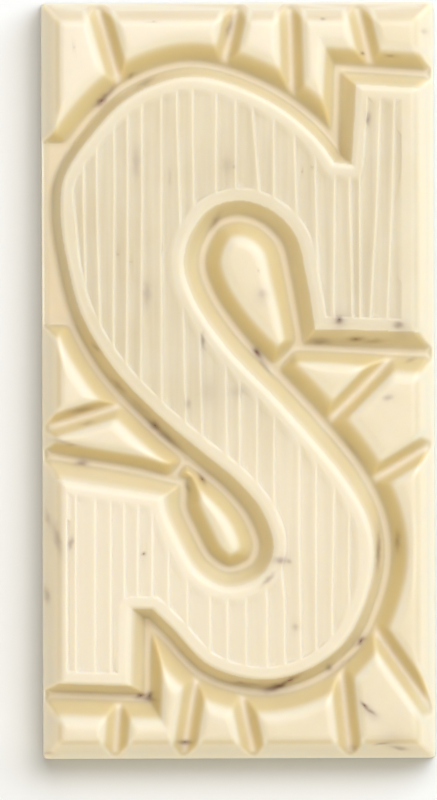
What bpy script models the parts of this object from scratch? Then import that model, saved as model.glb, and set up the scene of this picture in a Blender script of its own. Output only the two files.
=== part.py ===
"""A bar of white chocolate moulded with a bold slab-serif letter S.

The bar is one solid that lies on its flat back, long side along Y. Its face is
worked out as a height at each point of a fine grid: the letter and the blocks
around it stand at full height, a channel runs between them, break grooves cross
the blocks, and a bevel runs round the bar. The grid is thinned to few triangles
and closed with drafted sides and the flat back.
"""

import bmesh
import bpy
import numpy as np

MM = 0.001

# The bar
LENGTH = 150.0 * MM
WIDTH = 78.0 * MM
THICKNESS = 13.5 * MM
CHANNEL_LEVEL = 9.0 * MM  # height of the channel's floor over the back
GROOVE_LEVEL = 9.9 * MM  # height of a groove's floor
BEVEL_LEVEL = 8.7 * MM  # height at which the bevel meets the drafted side
BEVEL_WIDTH = 3.3 * MM
DRAFT = 0.3 * MM  # how far the sides lean in, from the back up to the bevel
RELIEF = THICKNESS - CHANNEL_LEVEL

# The channel round the letter, and the grooves that part the blocks
FLOOR_HALF_WIDTH = 0.6 * MM
GROOVE_HALF_WIDTH = 0.6 * MM  # of its flat floor
GROOVE_BANK = 2.2 * MM  # width of a groove's sloping side

# Roundings, each as the height over which two surfaces blend
RIM_BLEND = 1.2 * MM
BEVEL_BLEND = 1.6 * MM
FLOOR_BLEND = 0.5 * MM
MEETING_BLEND = 0.4 * MM

# Fineness of the grid, of a curve between two points, and of the thinned face
GRID_STEP = 0.35 * MM
CURVE_STEPS = 8
FACE_TRIANGLES = 7600
REACH = 12.0 * MM  # how far from its line a wall or a bank can matter

# The letter's outline, anticlockwise, in runs that meet at corners. A point is
# x, y, width of the letter's sloping wall, width of the bank across the channel,
# in mm. A run of two points is straight; a longer one is a smooth curve.
BACK_AND_LOWER_COUNTER = (
    (19.1, 43.0, 1.8, 4.2),
    (13.0, 50.3, 1.8, 4.2),
    (2.9, 56.9, 1.8, 4.3),
    (-9.4, 60.1, 1.8, 4.4),
    (-20.9, 56.3, 1.8, 4.4),
    (-29.6, 47.7, 1.8, 4.2),
    (-34.4, 39.8, 1.7, 4.0),
    (-35.0, 32.9, 1.7, 3.8),
    (-33.8, 24.0, 1.7, 3.6),
    (-30.9, 13.1, 1.9, 3.5),
    (-24.8, 2.8, 2.2, 3.7),
    (-16.3, -6.3, 2.2, 3.7),
    (-7.6, -13.7, 2.4, 3.6),
    (0.1, -20.1, 2.6, 3.4),
    (5.0, -26.3, 2.8, 3.6),
    (6.9, -33.2, 2.8, 3.6),
    (4.6, -38.5, 2.9, 3.4),
    (-2.2, -40.9, 3.0, 2.7),
    (-8.3, -37.7, 3.0, 3.2),
    (-12.2, -31.1, 3.0, 3.4),
    (-14.4, -26.0, 3.0, 3.4),
    (-14.9, -22.8, 3.4, 3.2),
)
LOWER_SERIF_TOP = (
    (-14.9, -22.8, 2.8, 2.8),
    (-20.5, -21.9, 3.5, 2.8),
    (-29.3, -20.5, 3.7, 2.8),
    (-41.3, -18.4, 3.7, 2.8),
)
LOWER_SERIF_END = ((-41.3, -18.4, 1.8, 4.4), (-41.4, -59.6, 1.8, 4.4))
LOWER_SERIF_FOOT = ((-41.4, -59.6, 1.6, 4.4), (-21.6, -60.3, 1.6, 4.4))
LOWER_SERIF_SIDE = ((-21.6, -60.3, 2.8, 2.8), (-21.2, -45.0, 2.6, 2.8))
LOWER_NOTCH = ((-21.2, -45.0, 1.8, 3.2), (-17.1, -45.1, 1.8, 4.4))
BOWL_AND_UPPER_COUNTER = (
    (-17.1, -45.1, 1.8, 4.4),
    (-13.1, -49.0, 1.8, 4.4),
    (-6.0, -56.2, 1.8, 4.4),
    (4.3, -59.1, 1.8, 4.4),
    (13.4, -57.2, 1.8, 4.2),
    (21.0, -51.5, 1.8, 4.0),
    (25.5, -42.0, 1.9, 4.0),
    (26.7, -34.0, 2.1, 4.1),
    (25.2, -26.9, 2.5, 4.0),
    (21.1, -19.8, 3.0, 4.2),
    (14.2, -11.2, 3.1, 4.4),
    (6.7, -2.9, 3.1, 4.2),
    (-2.2, 6.4, 3.0, 3.8),
    (-8.7, 16.0, 3.0, 3.8),
    (-10.7, 22.9, 3.0, 3.8),
    (-9.5, 28.6, 2.9, 3.8),
    (-5.7, 33.8, 2.8, 3.8),
    (0.1, 35.6, 2.8, 3.8),
    (6.6, 33.7, 2.9, 3.8),
    (11.5, 28.6, 3.0, 3.8),
    (13.5, 20.8, 3.0, 3.6),
    (14.4, 15.9, 3.0, 3.2),
    (15.2, 10.1, 2.8, 3.0),
)
UPPER_SERIF_FOOT = (
    (15.2, 10.1, 3.0, 3.0),
    (25.1, 9.9, 3.4, 3.2),
    (32.0, 9.6, 3.4, 4.2),
    (41.9, 9.3, 3.4, 4.2),
)
UPPER_SERIF_END = ((41.9, 9.3, 1.8, 4.4), (42.1, 57.2, 1.8, 4.4))
UPPER_SERIF_TOP = ((42.1, 57.2, 2.4, 4.0), (23.5, 58.5, 2.4, 4.0))
UPPER_SERIF_SIDE = ((23.5, 58.5, 3.2, 2.6), (23.1, 51.5, 3.0, 2.6), (22.5, 42.6, 2.4, 2.6))
UPPER_NOTCH = ((22.5, 42.6, 1.8, 2.6), (19.1, 43.0, 1.8, 2.6))
LETTER_RUNS = (
    BACK_AND_LOWER_COUNTER,
    LOWER_SERIF_TOP,
    LOWER_SERIF_END,
    LOWER_SERIF_FOOT,
    LOWER_SERIF_SIDE,
    LOWER_NOTCH,
    BOWL_AND_UPPER_COUNTER,
    UPPER_SERIF_FOOT,
    UPPER_SERIF_END,
    UPPER_SERIF_TOP,
    UPPER_SERIF_SIDE,
    UPPER_NOTCH,
)

# The break grooves, each as its middle line from x, y to x, y in mm, then its floor's height
GROOVES = (
    (-27.9, 75.0, -22.9, 57.5, GROOVE_LEVEL),
    (0.2, 75.0, -2.9, 61.6, GROOVE_LEVEL),
    (10.4, 75.0, 10.9, 55.0, GROOVE_LEVEL),
    (23.5, 75.0, 26.6, 61.3, GROOVE_LEVEL),
    (31.6, 5.8, 17.6, -8.4, GROOVE_LEVEL),
    (38.7, -12.4, 25.7, -20.3, GROOVE_LEVEL),
    (-23.7, -63.0, -24.7, -75.0, GROOVE_LEVEL),
    (-8.3, -57.5, -11.2, -75.0, GROOVE_LEVEL),
    (0.2, -61.0, 3.0, -75.0, GROOVE_LEVEL),
    (20.0, -55.8, 22.0, -75.0, GROOVE_LEVEL),
    (26.3, -48.5, 38.2, -65.4, GROOVE_LEVEL),
    (-39.3, -9.7, -22.1, -4.5, GROOVE_LEVEL),
    (12.4, 8.0, 7.1, 2.1, CHANNEL_LEVEL),
    (-13.2, -19.3, -10.4, -15.5, CHANNEL_LEVEL),
)

# The level shelf that takes the channel's place where the letter comes nearest to
# the bar's left side: its two ends along Y, and how far it reaches under the letter
SHELF_END = 47.0 * MM
SHELF_START = 11.2 * MM
SHELF_SIDE = -25.0 * MM
SHELF_BANK = 3.0 * MM  # width of the sloping face at either end


def smooth_min(a, b, blend):
    """The lower of two heights, less a rounding where they lie within the blend of each other."""
    share = np.clip(1 - np.abs(a - b) / blend, 0, None)
    return np.minimum(a, b) - share**2 * blend / 4


def smooth_max(a, b, blend):
    """The higher of two heights, with the hollow where they meet filled in the same way."""
    return -smooth_min(-a, -b, blend)


def traced(run):
    """The run's points in metres. Through three or more goes a cubic in Hermite form, its slopes
    from second-order differences and its parameter growing with the root of each chord."""
    points = np.array(run) * MM
    if len(points) == 2:
        return points
    chords = np.hypot(*np.diff(points[:, :2], axis=0).T)
    knots = np.concatenate([[0], np.cumsum(np.sqrt(chords))])
    slopes = np.gradient(points, knots, axis=0, edge_order=2)
    span = np.diff(knots)[:, None, None]
    t = np.linspace(0, 1, CURVE_STEPS, endpoint=False)[:, None]
    start, end = points[:-1, None], points[1:, None]
    leave, arrive = slopes[:-1, None] * span, slopes[1:, None] * span
    rounded = (
        (2 * t**3 - 3 * t**2 + 1) * start
        + (t**3 - 2 * t**2 + t) * leave
        + (3 * t**2 - 2 * t**3) * end
        + (t**3 - t**2) * arrive
    )
    return np.concatenate([rounded.reshape(-1, points.shape[1]), points[-1:]])


def patch_around(xs, ys, start, end):
    """The rows and columns of the grid within REACH of a line, and their places from its start."""
    low = np.minimum(start, end)[:2] - REACH
    high = np.maximum(start, end)[:2] + REACH
    columns = slice(*np.searchsorted(xs, (low[0], high[0])))
    rows = slice(*np.searchsorted(ys, (low[1], high[1])))
    return (rows, columns), xs[columns] - start[0], ys[rows, None] - start[1]


def near(xs, ys, start, end):
    """The patch of the grid around a line, each point's distance from the line, and how far
    along the line, from 0 to 1, the nearest place lies."""
    patch, x, y = patch_around(xs, ys, start, end)
    along = end[:2] - start[:2]
    share = np.clip((x * along[0] + y * along[1]) / (along @ along), 0, 1)
    return patch, np.hypot(x - share * along[0], y - share * along[1]), share


def turn_over_left(inside, xs, ys, start, end):
    """Turns over every grid point to the left of a side, so that once all sides of the outline
    have done so, only the points inside it are set."""
    rows = (ys >= min(start[1], end[1])) & (ys < max(start[1], end[1]))
    crossing = start[0] + (ys[rows] - start[1]) / (end[1] - start[1]) * (end[0] - start[0])
    inside[rows] ^= xs < crossing[:, None]


def slopes_beside(distance, wall, bank):
    """How far the letter's wall has fallen at a distance from its outline, and how high the bank
    across the channel stands there."""
    past_floor = np.clip(distance - wall - 2 * FLOOR_HALF_WIDTH, 0, None)
    return distance / wall * RELIEF, CHANNEL_LEVEL + past_floor / bank * RELIEF


def mitre(wall_fall, banks, xs, ys, arriving, leaving):
    """Beyond a corner, the walls of the run that arrives and the run that leaves carry straight
    on until they meet, and so do the banks: the wall is the lower of the two planes and the bank
    the higher. In an inward corner the same holds for the letter's side of the outline."""
    u = arriving[-1, :2] - arriving[-2, :2]
    v = leaving[1, :2] - leaving[0, :2]
    u, v = u / np.hypot(*u), v / np.hypot(*v)
    patch, x, y = patch_around(xs, ys, leaving[0], leaving[0])
    beyond = (x * u[0] + y * u[1] >= 0) & (x * v[0] + y * v[1] <= 0)
    fall_a, bank_a = slopes_beside(np.abs(x * u[1] - y * u[0]), *arriving[-1, 2:])
    fall_b, bank_b = slopes_beside(np.abs(x * v[1] - y * v[0]), *leaving[0, 2:])
    fall = np.maximum(fall_a, fall_b)
    bank = np.maximum(bank_a, bank_b)
    np.minimum(wall_fall[patch], fall, out=wall_fall[patch], where=beyond)
    np.minimum(banks[patch], bank, out=banks[patch], where=beyond)


def face_height(xs, ys):
    """Height of the moulded face over each grid point. The letter's wall falls evenly from its
    outline to the channel's floor, and the bank rises evenly again past it. The body is the
    higher of wall and bank; the face is the lowest of the body, the flat top and the bevel."""
    shape = (len(ys), len(xs))
    wall_fall = np.full(shape, 10 * RELIEF)
    banks = np.full(shape, 2 * THICKNESS)
    inside = np.zeros(shape, bool)
    runs = [traced(run) for run in LETTER_RUNS]
    for run in runs:
        last = len(run) - 2
        for place, (start, end) in enumerate(zip(run, run[1:])):
            patch, distance, share = near(xs, ys, start, end)
            beside = ((share > 0) | (place > 0)) & ((share < 1) | (place < last))
            wall, bank = (start[side] + (end[side] - start[side]) * share for side in (2, 3))
            fall, rise = slopes_beside(distance, wall, bank)
            np.minimum(wall_fall[patch], fall, out=wall_fall[patch], where=beside)
            np.minimum(banks[patch], rise, out=banks[patch], where=beside)
            turn_over_left(inside, xs, ys, start, end)
    for arriving, leaving in zip(runs, runs[1:] + runs[:1]):
        mitre(wall_fall, banks, xs, ys, arriving, leaving)
    for groove in GROOVES:
        line, level = np.array(groove[:4]) * MM, groove[4]
        patch, distance, _ = near(xs, ys, line[:2], line[2:])
        side = level + (distance - GROOVE_HALF_WIDTH) / GROOVE_BANK * (THICKNESS - level)
        side = smooth_max(side, level, FLOOR_BLEND)
        banks[patch] = smooth_min(banks[patch], side, MEETING_BLEND)
    past_shelf = np.maximum(np.maximum(SHELF_START - ys, ys - SHELF_END), 0)[:, None]
    shelf = CHANNEL_LEVEL + past_shelf / SHELF_BANK * RELIEF
    banks = np.where(xs < SHELF_SIDE, smooth_min(banks, shelf, MEETING_BLEND), banks)
    letter = THICKNESS + np.where(inside, wall_fall, -wall_fall)
    body = smooth_max(letter, banks, MEETING_BLEND)
    body = smooth_max(body, np.full(shape, CHANNEL_LEVEL), FLOOR_BLEND)
    bevel_slope = (THICKNESS - BEVEL_LEVEL) / BEVEL_WIDTH
    side_bevel = BEVEL_LEVEL + bevel_slope * (WIDTH / 2 - DRAFT - np.abs(xs))
    end_bevel = BEVEL_LEVEL + bevel_slope * (LENGTH / 2 - DRAFT - np.abs(ys[:, None]))
    bevel = smooth_min(side_bevel, end_bevel, MEETING_BLEND)
    face = smooth_min(smooth_min(body, THICKNESS, RIM_BLEND), bevel, BEVEL_BLEND)
    return np.maximum(face, BEVEL_LEVEL)


def grid_face(xs, ys, height):
    """A mesh of the face, one square for each cell of the grid."""
    x, y = np.meshgrid(xs, ys)
    points = np.stack([x, y, height], axis=-1).reshape(-1, 3)
    index = np.arange(len(points)).reshape(height.shape)
    squares = np.stack([index[:-1, :-1], index[:-1, 1:], index[1:, 1:], index[1:, :-1]], axis=-1)
    mesh = bpy.data.meshes.new("face")
    mesh.from_pydata(points, [], squares.reshape(-1, 4))
    return mesh


def thinned(mesh, triangles):
    """The mesh with its edges collapsed, flattest first, down to that many triangles."""
    source = bpy.data.objects.new("thinning", mesh)
    bpy.context.collection.objects.link(source)
    modifier = source.modifiers.new("Decimate", "DECIMATE")
    modifier.ratio = triangles / (2 * len(mesh.polygons))
    modifier.use_collapse_triangulate = True
    graph = bpy.context.evaluated_depsgraph_get()
    result = bpy.data.meshes.new_from_object(source.evaluated_get(graph))
    bpy.data.objects.remove(source)
    return result


def close_bar(mesh):
    """Carries the face's rim down to the back, leaning out by the draft, and fills the back."""
    shell = bmesh.new()
    shell.from_mesh(mesh)
    for corner in shell.verts:
        corner.co.z = min(corner.co.z, THICKNESS)
    rim = [edge for edge in shell.edges if edge.is_boundary]
    made = bmesh.ops.extrude_edge_only(shell, edges=rim)["geom"]
    for corner in (item for item in made if isinstance(item, bmesh.types.BMVert)):
        corner.co.x *= WIDTH / (WIDTH - 2 * DRAFT)
        corner.co.y *= LENGTH / (LENGTH - 2 * DRAFT)
        corner.co.z = 0
    back = [item for item in made if isinstance(item, bmesh.types.BMEdge)]
    bmesh.ops.contextual_create(shell, geom=back)
    bmesh.ops.recalc_face_normals(shell, faces=shell.faces)
    shell.to_mesh(mesh)
    shell.free()


def white_chocolate():
    """Cream-coloured, with the soft gloss that a smooth mould leaves."""
    material = bpy.data.materials.new("white_chocolate")
    material.use_nodes = True
    surface = material.node_tree.nodes["Principled BSDF"]
    surface.inputs["Base Color"].default_value = (0.93, 0.83, 0.64, 1.0)
    surface.inputs["Roughness"].default_value = 0.4
    surface.inputs["Metallic"].default_value = 0.0
    return material


def chocolate_bar():
    """The whole bar as one named object, with its material."""
    across = round((WIDTH - 2 * DRAFT) / GRID_STEP) + 1
    along = round((LENGTH - 2 * DRAFT) / GRID_STEP) + 1
    xs = np.linspace(DRAFT - WIDTH / 2, WIDTH / 2 - DRAFT, across)
    ys = np.linspace(DRAFT - LENGTH / 2, LENGTH / 2 - DRAFT, along)
    mesh = thinned(grid_face(xs, ys, face_height(xs, ys)), FACE_TRIANGLES)
    close_bar(mesh)
    mesh.name = "chocolate_bar"
    mesh.materials.append(white_chocolate())
    bar = bpy.data.objects.new("chocolate_bar", mesh)
    bpy.context.collection.objects.link(bar)


for old in list(bpy.data.objects):
    bpy.data.objects.remove(old)
chocolate_bar()
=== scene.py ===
"""A bar of white chocolate with a bold letter S on its face and bits of raspberry in it.

The bar lies on its flat back, letter up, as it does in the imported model. Lengths are in
millimetres until a mesh is made.
"""

import bmesh
import bpy
import numpy as np
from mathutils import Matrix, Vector
from mathutils.geometry import delaunay_2d_cdt


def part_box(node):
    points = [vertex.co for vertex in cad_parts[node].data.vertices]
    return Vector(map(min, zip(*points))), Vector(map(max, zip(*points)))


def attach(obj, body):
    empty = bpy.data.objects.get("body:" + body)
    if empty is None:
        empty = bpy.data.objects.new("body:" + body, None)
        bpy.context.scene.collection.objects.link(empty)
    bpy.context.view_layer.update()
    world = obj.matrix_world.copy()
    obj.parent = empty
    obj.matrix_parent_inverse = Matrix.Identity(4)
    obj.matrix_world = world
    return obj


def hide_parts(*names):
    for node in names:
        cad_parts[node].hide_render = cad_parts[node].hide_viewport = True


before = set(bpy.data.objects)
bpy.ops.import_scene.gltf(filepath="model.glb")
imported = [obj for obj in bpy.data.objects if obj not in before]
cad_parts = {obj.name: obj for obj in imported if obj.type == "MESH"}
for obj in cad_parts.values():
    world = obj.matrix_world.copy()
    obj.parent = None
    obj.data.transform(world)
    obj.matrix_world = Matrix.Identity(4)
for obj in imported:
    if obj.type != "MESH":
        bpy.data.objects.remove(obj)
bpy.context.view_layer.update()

# ------------------------------------------------------------------------------- the bar
# One piece of white chocolate (cocoa butter, milk powder and sugar), poured into a mould
# that forms the letter, the channel round it, the break grooves and the ribs, then chilled
# and knocked out. The mould's open side, scraped level, became the flat back.

MM = 0.001
low, high = (np.array(corner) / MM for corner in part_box("chocolate_bar"))
WIDTH, LENGTH, THICKNESS = high - low
CHANNEL_LEVEL = 9.0  # height of the channel's floor over the back
GROOVE_LEVEL = 9.9  # height of a groove's floor
BEVEL_LEVEL = 8.7  # height at which the bevel meets the drafted side
BEVEL_WIDTH = 3.3
DRAFT = 0.3  # how far the sides lean in, from the back up to the bevel
RELIEF = THICKNESS - CHANNEL_LEVEL
FLOOR_HALF_WIDTH = 0.6
GROOVE_HALF_WIDTH = 0.6  # of its flat floor
GROOVE_BANK = 2.2  # width of a groove's sloping side

# Roundings, each as the height over which two surfaces blend
RIM_BLEND = 2.0
BEVEL_BLEND = 2.1
BEVEL_MEETING = 1.6  # where the bevels of two sides meet
FLOOR_BLEND = 0.8
MEETING_BLEND = 0.9
CREASE = 0.4  # how far either side a crease is softened

CURVE_STEPS = 8  # places worked out between two points of a curve
REACH = 12.0  # how far from its line a wall or a bank can matter
FACE_TRIANGLES = 185000  # of the face once it is thinned

# The letter's outline, anticlockwise, in runs that meet at corners: x, y, width of the
# letter's sloping wall, width of the bank across the channel. Two points make a straight.
BACK_AND_LOWER_COUNTER = (
    (19.1, 43.0, 1.8, 4.2),
    (13.0, 50.3, 1.8, 4.2),
    (2.9, 56.9, 1.8, 4.3),
    (-9.4, 60.1, 1.8, 4.4),
    (-20.9, 56.3, 1.8, 4.4),
    (-29.6, 47.7, 1.8, 4.2),
    (-34.4, 39.8, 1.7, 4.0),
    (-35.0, 32.9, 1.7, 3.8),
    (-33.8, 24.0, 1.7, 3.6),
    (-30.9, 13.1, 1.9, 3.5),
    (-24.8, 2.8, 2.2, 3.7),
    (-16.3, -6.3, 2.2, 3.7),
    (-7.6, -13.7, 2.4, 3.6),
    (0.1, -20.1, 2.6, 3.4),
    (5.0, -26.3, 2.8, 3.6),
    (6.9, -33.2, 2.8, 3.6),
    (4.6, -38.5, 2.9, 3.4),
    (-2.2, -40.9, 3.0, 2.7),
    (-8.3, -37.7, 3.0, 3.2),
    (-12.2, -31.1, 3.0, 3.4),
    (-14.4, -26.0, 3.0, 3.4),
    (-14.9, -22.8, 3.4, 3.2),
)
LOWER_SERIF_TOP = (
    (-14.9, -22.8, 2.8, 2.8),
    (-20.5, -21.9, 3.5, 2.8),
    (-29.3, -20.5, 3.7, 2.8),
    (-41.3, -18.4, 3.7, 2.8),
)
LOWER_SERIF_END = ((-41.3, -18.4, 1.8, 4.4), (-41.4, -59.6, 1.8, 4.4))
LOWER_SERIF_FOOT = ((-41.4, -59.6, 1.6, 4.4), (-21.6, -60.3, 1.6, 4.4))
LOWER_SERIF_SIDE = ((-21.6, -60.3, 2.8, 2.8), (-21.2, -45.0, 2.6, 2.8))
LOWER_NOTCH = ((-21.2, -45.0, 1.8, 3.2), (-17.1, -45.1, 1.8, 4.4))
BOWL_AND_UPPER_COUNTER = (
    (-17.1, -45.1, 1.8, 4.4),
    (-13.1, -49.0, 1.8, 4.4),
    (-6.0, -56.2, 1.8, 4.4),
    (4.3, -59.1, 1.8, 4.4),
    (13.4, -57.2, 1.8, 4.2),
    (21.0, -51.5, 1.8, 4.0),
    (25.5, -42.0, 1.9, 4.0),
    (26.7, -34.0, 2.1, 4.1),
    (25.2, -26.9, 2.5, 4.0),
    (21.1, -19.8, 3.0, 4.2),
    (14.2, -11.2, 3.1, 4.4),
    (6.7, -2.9, 3.1, 4.2),
    (-2.2, 6.4, 3.0, 3.8),
    (-8.7, 16.0, 3.0, 3.8),
    (-10.7, 22.9, 3.0, 3.8),
    (-9.5, 28.6, 2.9, 3.8),
    (-5.7, 33.8, 2.8, 3.8),
    (0.1, 35.6, 2.8, 3.8),
    (6.6, 33.7, 2.9, 3.8),
    (11.5, 28.6, 3.0, 3.8),
    (13.5, 20.8, 3.0, 3.6),
    (14.4, 15.9, 3.0, 3.2),
    (15.2, 10.1, 2.8, 3.0),
)
UPPER_SERIF_FOOT = (
    (15.2, 10.1, 3.0, 3.0),
    (25.1, 9.9, 3.4, 3.2),
    (32.0, 9.6, 3.4, 4.2),
    (41.9, 9.3, 3.4, 4.2),
)
UPPER_SERIF_END = ((41.9, 9.3, 1.8, 4.4), (42.1, 57.2, 1.8, 4.4))
UPPER_SERIF_TOP = ((42.1, 57.2, 2.4, 4.0), (23.5, 58.5, 2.4, 4.0))
UPPER_SERIF_SIDE = ((23.5, 58.5, 3.2, 2.6), (23.1, 51.5, 3.0, 2.6), (22.5, 42.6, 2.4, 2.6))
UPPER_NOTCH = ((22.5, 42.6, 1.8, 2.6), (19.1, 43.0, 1.8, 2.6))
LETTER_RUNS = (
    BACK_AND_LOWER_COUNTER,
    LOWER_SERIF_TOP,
    LOWER_SERIF_END,
    LOWER_SERIF_FOOT,
    LOWER_SERIF_SIDE,
    LOWER_NOTCH,
    BOWL_AND_UPPER_COUNTER,
    UPPER_SERIF_FOOT,
    UPPER_SERIF_END,
    UPPER_SERIF_TOP,
    UPPER_SERIF_SIDE,
    UPPER_NOTCH,
)

# The break grooves, each as its middle line from x, y to x, y, then its floor's height
GROOVES = (
    (-27.9, 75.0, -22.9, 57.5, GROOVE_LEVEL),
    (0.2, 75.0, -2.9, 61.6, GROOVE_LEVEL),
    (10.4, 75.0, 10.9, 55.0, GROOVE_LEVEL),
    (23.5, 75.0, 26.6, 61.3, GROOVE_LEVEL),
    (31.6, 5.8, 17.6, -8.4, GROOVE_LEVEL),
    (38.7, -12.4, 25.7, -20.3, GROOVE_LEVEL),
    (-23.7, -63.0, -24.7, -75.0, GROOVE_LEVEL),
    (-8.3, -57.5, -11.2, -75.0, GROOVE_LEVEL),
    (0.2, -61.0, 3.0, -75.0, GROOVE_LEVEL),
    (20.0, -55.8, 22.0, -75.0, GROOVE_LEVEL),
    (26.3, -48.5, 38.2, -65.4, GROOVE_LEVEL),
    (-39.3, -9.7, -22.1, -4.5, GROOVE_LEVEL),
    (12.4, 8.0, 7.1, 2.1, CHANNEL_LEVEL),
    (-13.2, -19.3, -10.4, -15.5, CHANNEL_LEVEL),
)

# The level shelf that takes the channel's place where the letter comes nearest to the bar's
# left side: its two ends along Y, how far it reaches under the letter, and the width of the
# sloping face at either end
SHELF_END = 47.0
SHELF_START = 11.2
SHELF_SIDE = -25.0
SHELF_BANK = 3.0

# The ribs on the letter's face: the lines where one rib steps down to the next, as x, y
# points from the top to the foot. From one line the face climbs gently to the next.
RIB_DEPTH = 0.35
RIB_STEP = 0.4  # width of the step down at a line
RIB_LEAN = 1.2  # over 1, the climb is steepest past the middle
RIB_EDGE = 0.28  # how far from a line its crest carries a painted highlight
BORDER = 2.3  # the unribbed edge of the letter
BORDER_STEP = 0.35  # the ribs deepen over this width from the border on
UPPER_RIGHT = (0.6, 0.8)  # the way over the face towards its upper right, as x and y
BORDER_SPREAD = 3  # and over up to this many times more at edges that face the upper right
FACING_SQUARE = 0.4  # how far an edge that faces square to the upper right counts as those do
RIBS_LEFT, RIBS_RIGHT = -34.1, 32.5
LOOSE_RIB = 3.0  # width of the ribs outside the first and the last line
RIB_LINES = (
    ((-32.4, 35.8), (-31.3, 24.4), (-34.0, -23.5), (-34.1, -57.4)),
    ((-30.3, 35.8), (-30.0, 20.0), (-32.0, -23.6), (-32.1, -57.4)),
    ((-27.7, 35.8), (-27.1, 11.1), (-28.2, -23.6), (-28.3, -57.4)),
    ((-24.2, 35.8), (-24.5, 8.1), (-25.1, -23.6), (-25.2, -57.4)),
    ((-21.6, 35.8), (-21.9, 5.1), (-22.5, -23.6), (-22.4, -57.4)),
    ((-18.7, 35.8), (-19.1, 0.2), (-19.7, -23.6), (-20.0, -57.5)),
    ((-14.9, 51.6), (-15.0, -3.8), (-16.9, -23.6), (-17.0, -57.5)),
    ((-11.8, 51.6), (-10.7, 14.0), (-10.2, -7.8), (-13.7, -23.6), (-13.8, -57.5)),
    ((-11.8, 51.6), (-10.7, 14.0), (-10.2, -7.8), (-10.0, -43.4)),
    ((-8.7, 53.6), (-8.5, 36.4), (-7.4, 7.1), (-7.0, -9.8), (-5.5, -43.4)),
    ((-4.0, 53.6), (-4.1, 37.7), (-2.3, 2.5), (-2.1, -13.8), (-2.1, -43.5)),
    ((-0.2, 53.6), (-0.2, 37.7), (0.4, 0.1), (0.4, -16.7), (1.6, -43.5)),
    ((3.1, 53.9), (4.4, 37.7), (3.9, -1.9), (3.8, -19.7), (5.7, -43.5)),
    ((7.4, 55.5), (7.2, -24.7), (9.2, -43.5)),
    ((11.4, 47.6), (11.9, 31.3), (12.2, -9.8), (12.1, -31.6), (12.4, -53.4)),
    ((15.5, 42.2), (16.0, 21.0), (15.5, -17.8), (15.4, -53.4)),
    ((19.4, 40.0), (19.1, 12.5), (19.1, -21.7), (18.6, -43.5)),
    ((22.3, 37.6), (22.8, 12.5), (21.9, -31.7)),
    ((24.4, 56.3), (24.3, 36.5)),
    ((28.4, 56.0), (27.7, 35.1), (26.3, 12.5)),
    ((31.2, 55.6), (30.7, 35.0), (29.7, 12.5)),
)

# How the faces swell: they fall off towards every rim, and sink and rise by a hair
PILLOW = 0.2
PILLOW_WIDTH = 1.6
PAST_RIM = 2.0  # how far past a rim the fall goes on
PLAIN_BANK = 4.0  # a bank's usual width
WAVE = 0.02
WAVE_LENGTH = 14.0
WAVES = 7  # how many plane waves add up to an unevenness
WAVE_SPREAD = (0.7, 1.6)  # their lengths, as shares of the usual one

# The tones over the cream, most of them painted light and shade: painted shade in the channel,
# the grooves and on the head's bevel, painted light on the other bevels, and painted highlights
# on the rims, the rib crests, the level floors and the outer edge. A pair of numbers gives where
# a tone starts and where it is full, in mm of height or of distance.
OFF_BEVEL = (0.2, 0.8)  # the face under the bevel's plane: all but the bevel itself
ON_BEVEL = (1.8, -0.3)  # the bevel's plane over the top, where light is painted on the bevels
AT_HEAD = (0, 1.5)  # the head's bevel under the sides', which has painted shade instead
BANK_SHADE_START = 0.3  # under the top: the painted shade of the slopes into the channel and the grooves
BANK_SHADE_FADE = 1.3  # how much lower they have their full tone
BANK_SHADE_HASTE = 0.7  # and how much sooner, where they face the lower left
FACES_LOWER_LEFT = (-0.5, 0.5)  # the climb towards the upper right, as a share of the slope
FLAT = 0.1  # a slope as small as this hardly faces any way
LESS_SHADE_ELSEWHERE = 0.2  # how much weaker the painted shade is on slopes that face other ways
LESS_ON_WALL = 0.3  # and on the letter's own wall
ON_WALL = (0, 0.4)  # the letter's wall over the bank
OFF_SHELF = (1.5, 2.5)  # from the letter's outline: the shelf, which has neither tone
LOW_SLOPE = (1.4, 0)  # over the channel's floor: the foot of its slopes, where shade is painted
FLOOR_STRIP = 0.16  # how far over or under the level floor its painted highlight reaches
OVER_GROOVE = (-0.5, -0.1)  # over a groove's floor: not in the channel that it runs into
GROOVE_LINE = 0.75  # how far from a groove's middle line the painted highlight on its floor reaches
ON_LETTER = (-0.5, 0)  # inside the letter's outline
OFF_LETTER = (0, 2)  # outside it
RIM_HIGHLIGHT = 0.9  # how far from a rim its painted highlight reaches
CREST_HIGHLIGHT = 0.35  # how strongly a rib's crest shows the same painted highlight
OUTER_HIGHLIGHT = 0.35  # how far from the bar's outer edge its painted highlight line reaches

# Tones that change slowly over the bar, each as places along x or y and its share at them
LETTER_TONE = ((-22, 2, 45, 60), (0.05, 1, 1, 0.55))  # along y: how far the letter is darker
PALER_HEAD = ((45, 58), (0, 1))  # along y: how far the blocks are paler
PALER_HEAD_ACROSS = ((12, 28), (1, 0))  # along x
PALER_LEFT = ((-26, -12), (0.45, 0))  # along x: the blocks again
PALER_LETTER = ((-20, -6), (1, 0))  # along y: how far the letter is paler
PALER_LETTER_ACROSS = ((-20, 25), (0.9, 0.4))  # along x

STAIN_SPREAD = 1.3  # how far a stain spreads, as a share of its size
STAIN_FALL = 1.5  # how steeply it fades
HALO_FALL = 0.3  # how steeply the juice round it fades
HALO = 0.13  # how strong the juice round a stain is
STAIN_WARP = 0.2  # how far a fine unevenness pushes a stain about
STAIN_GRAIN = 1.6  # and its length
KEPT_STAIN = 0.04  # a stain at least this strong keeps the fine grid

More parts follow.
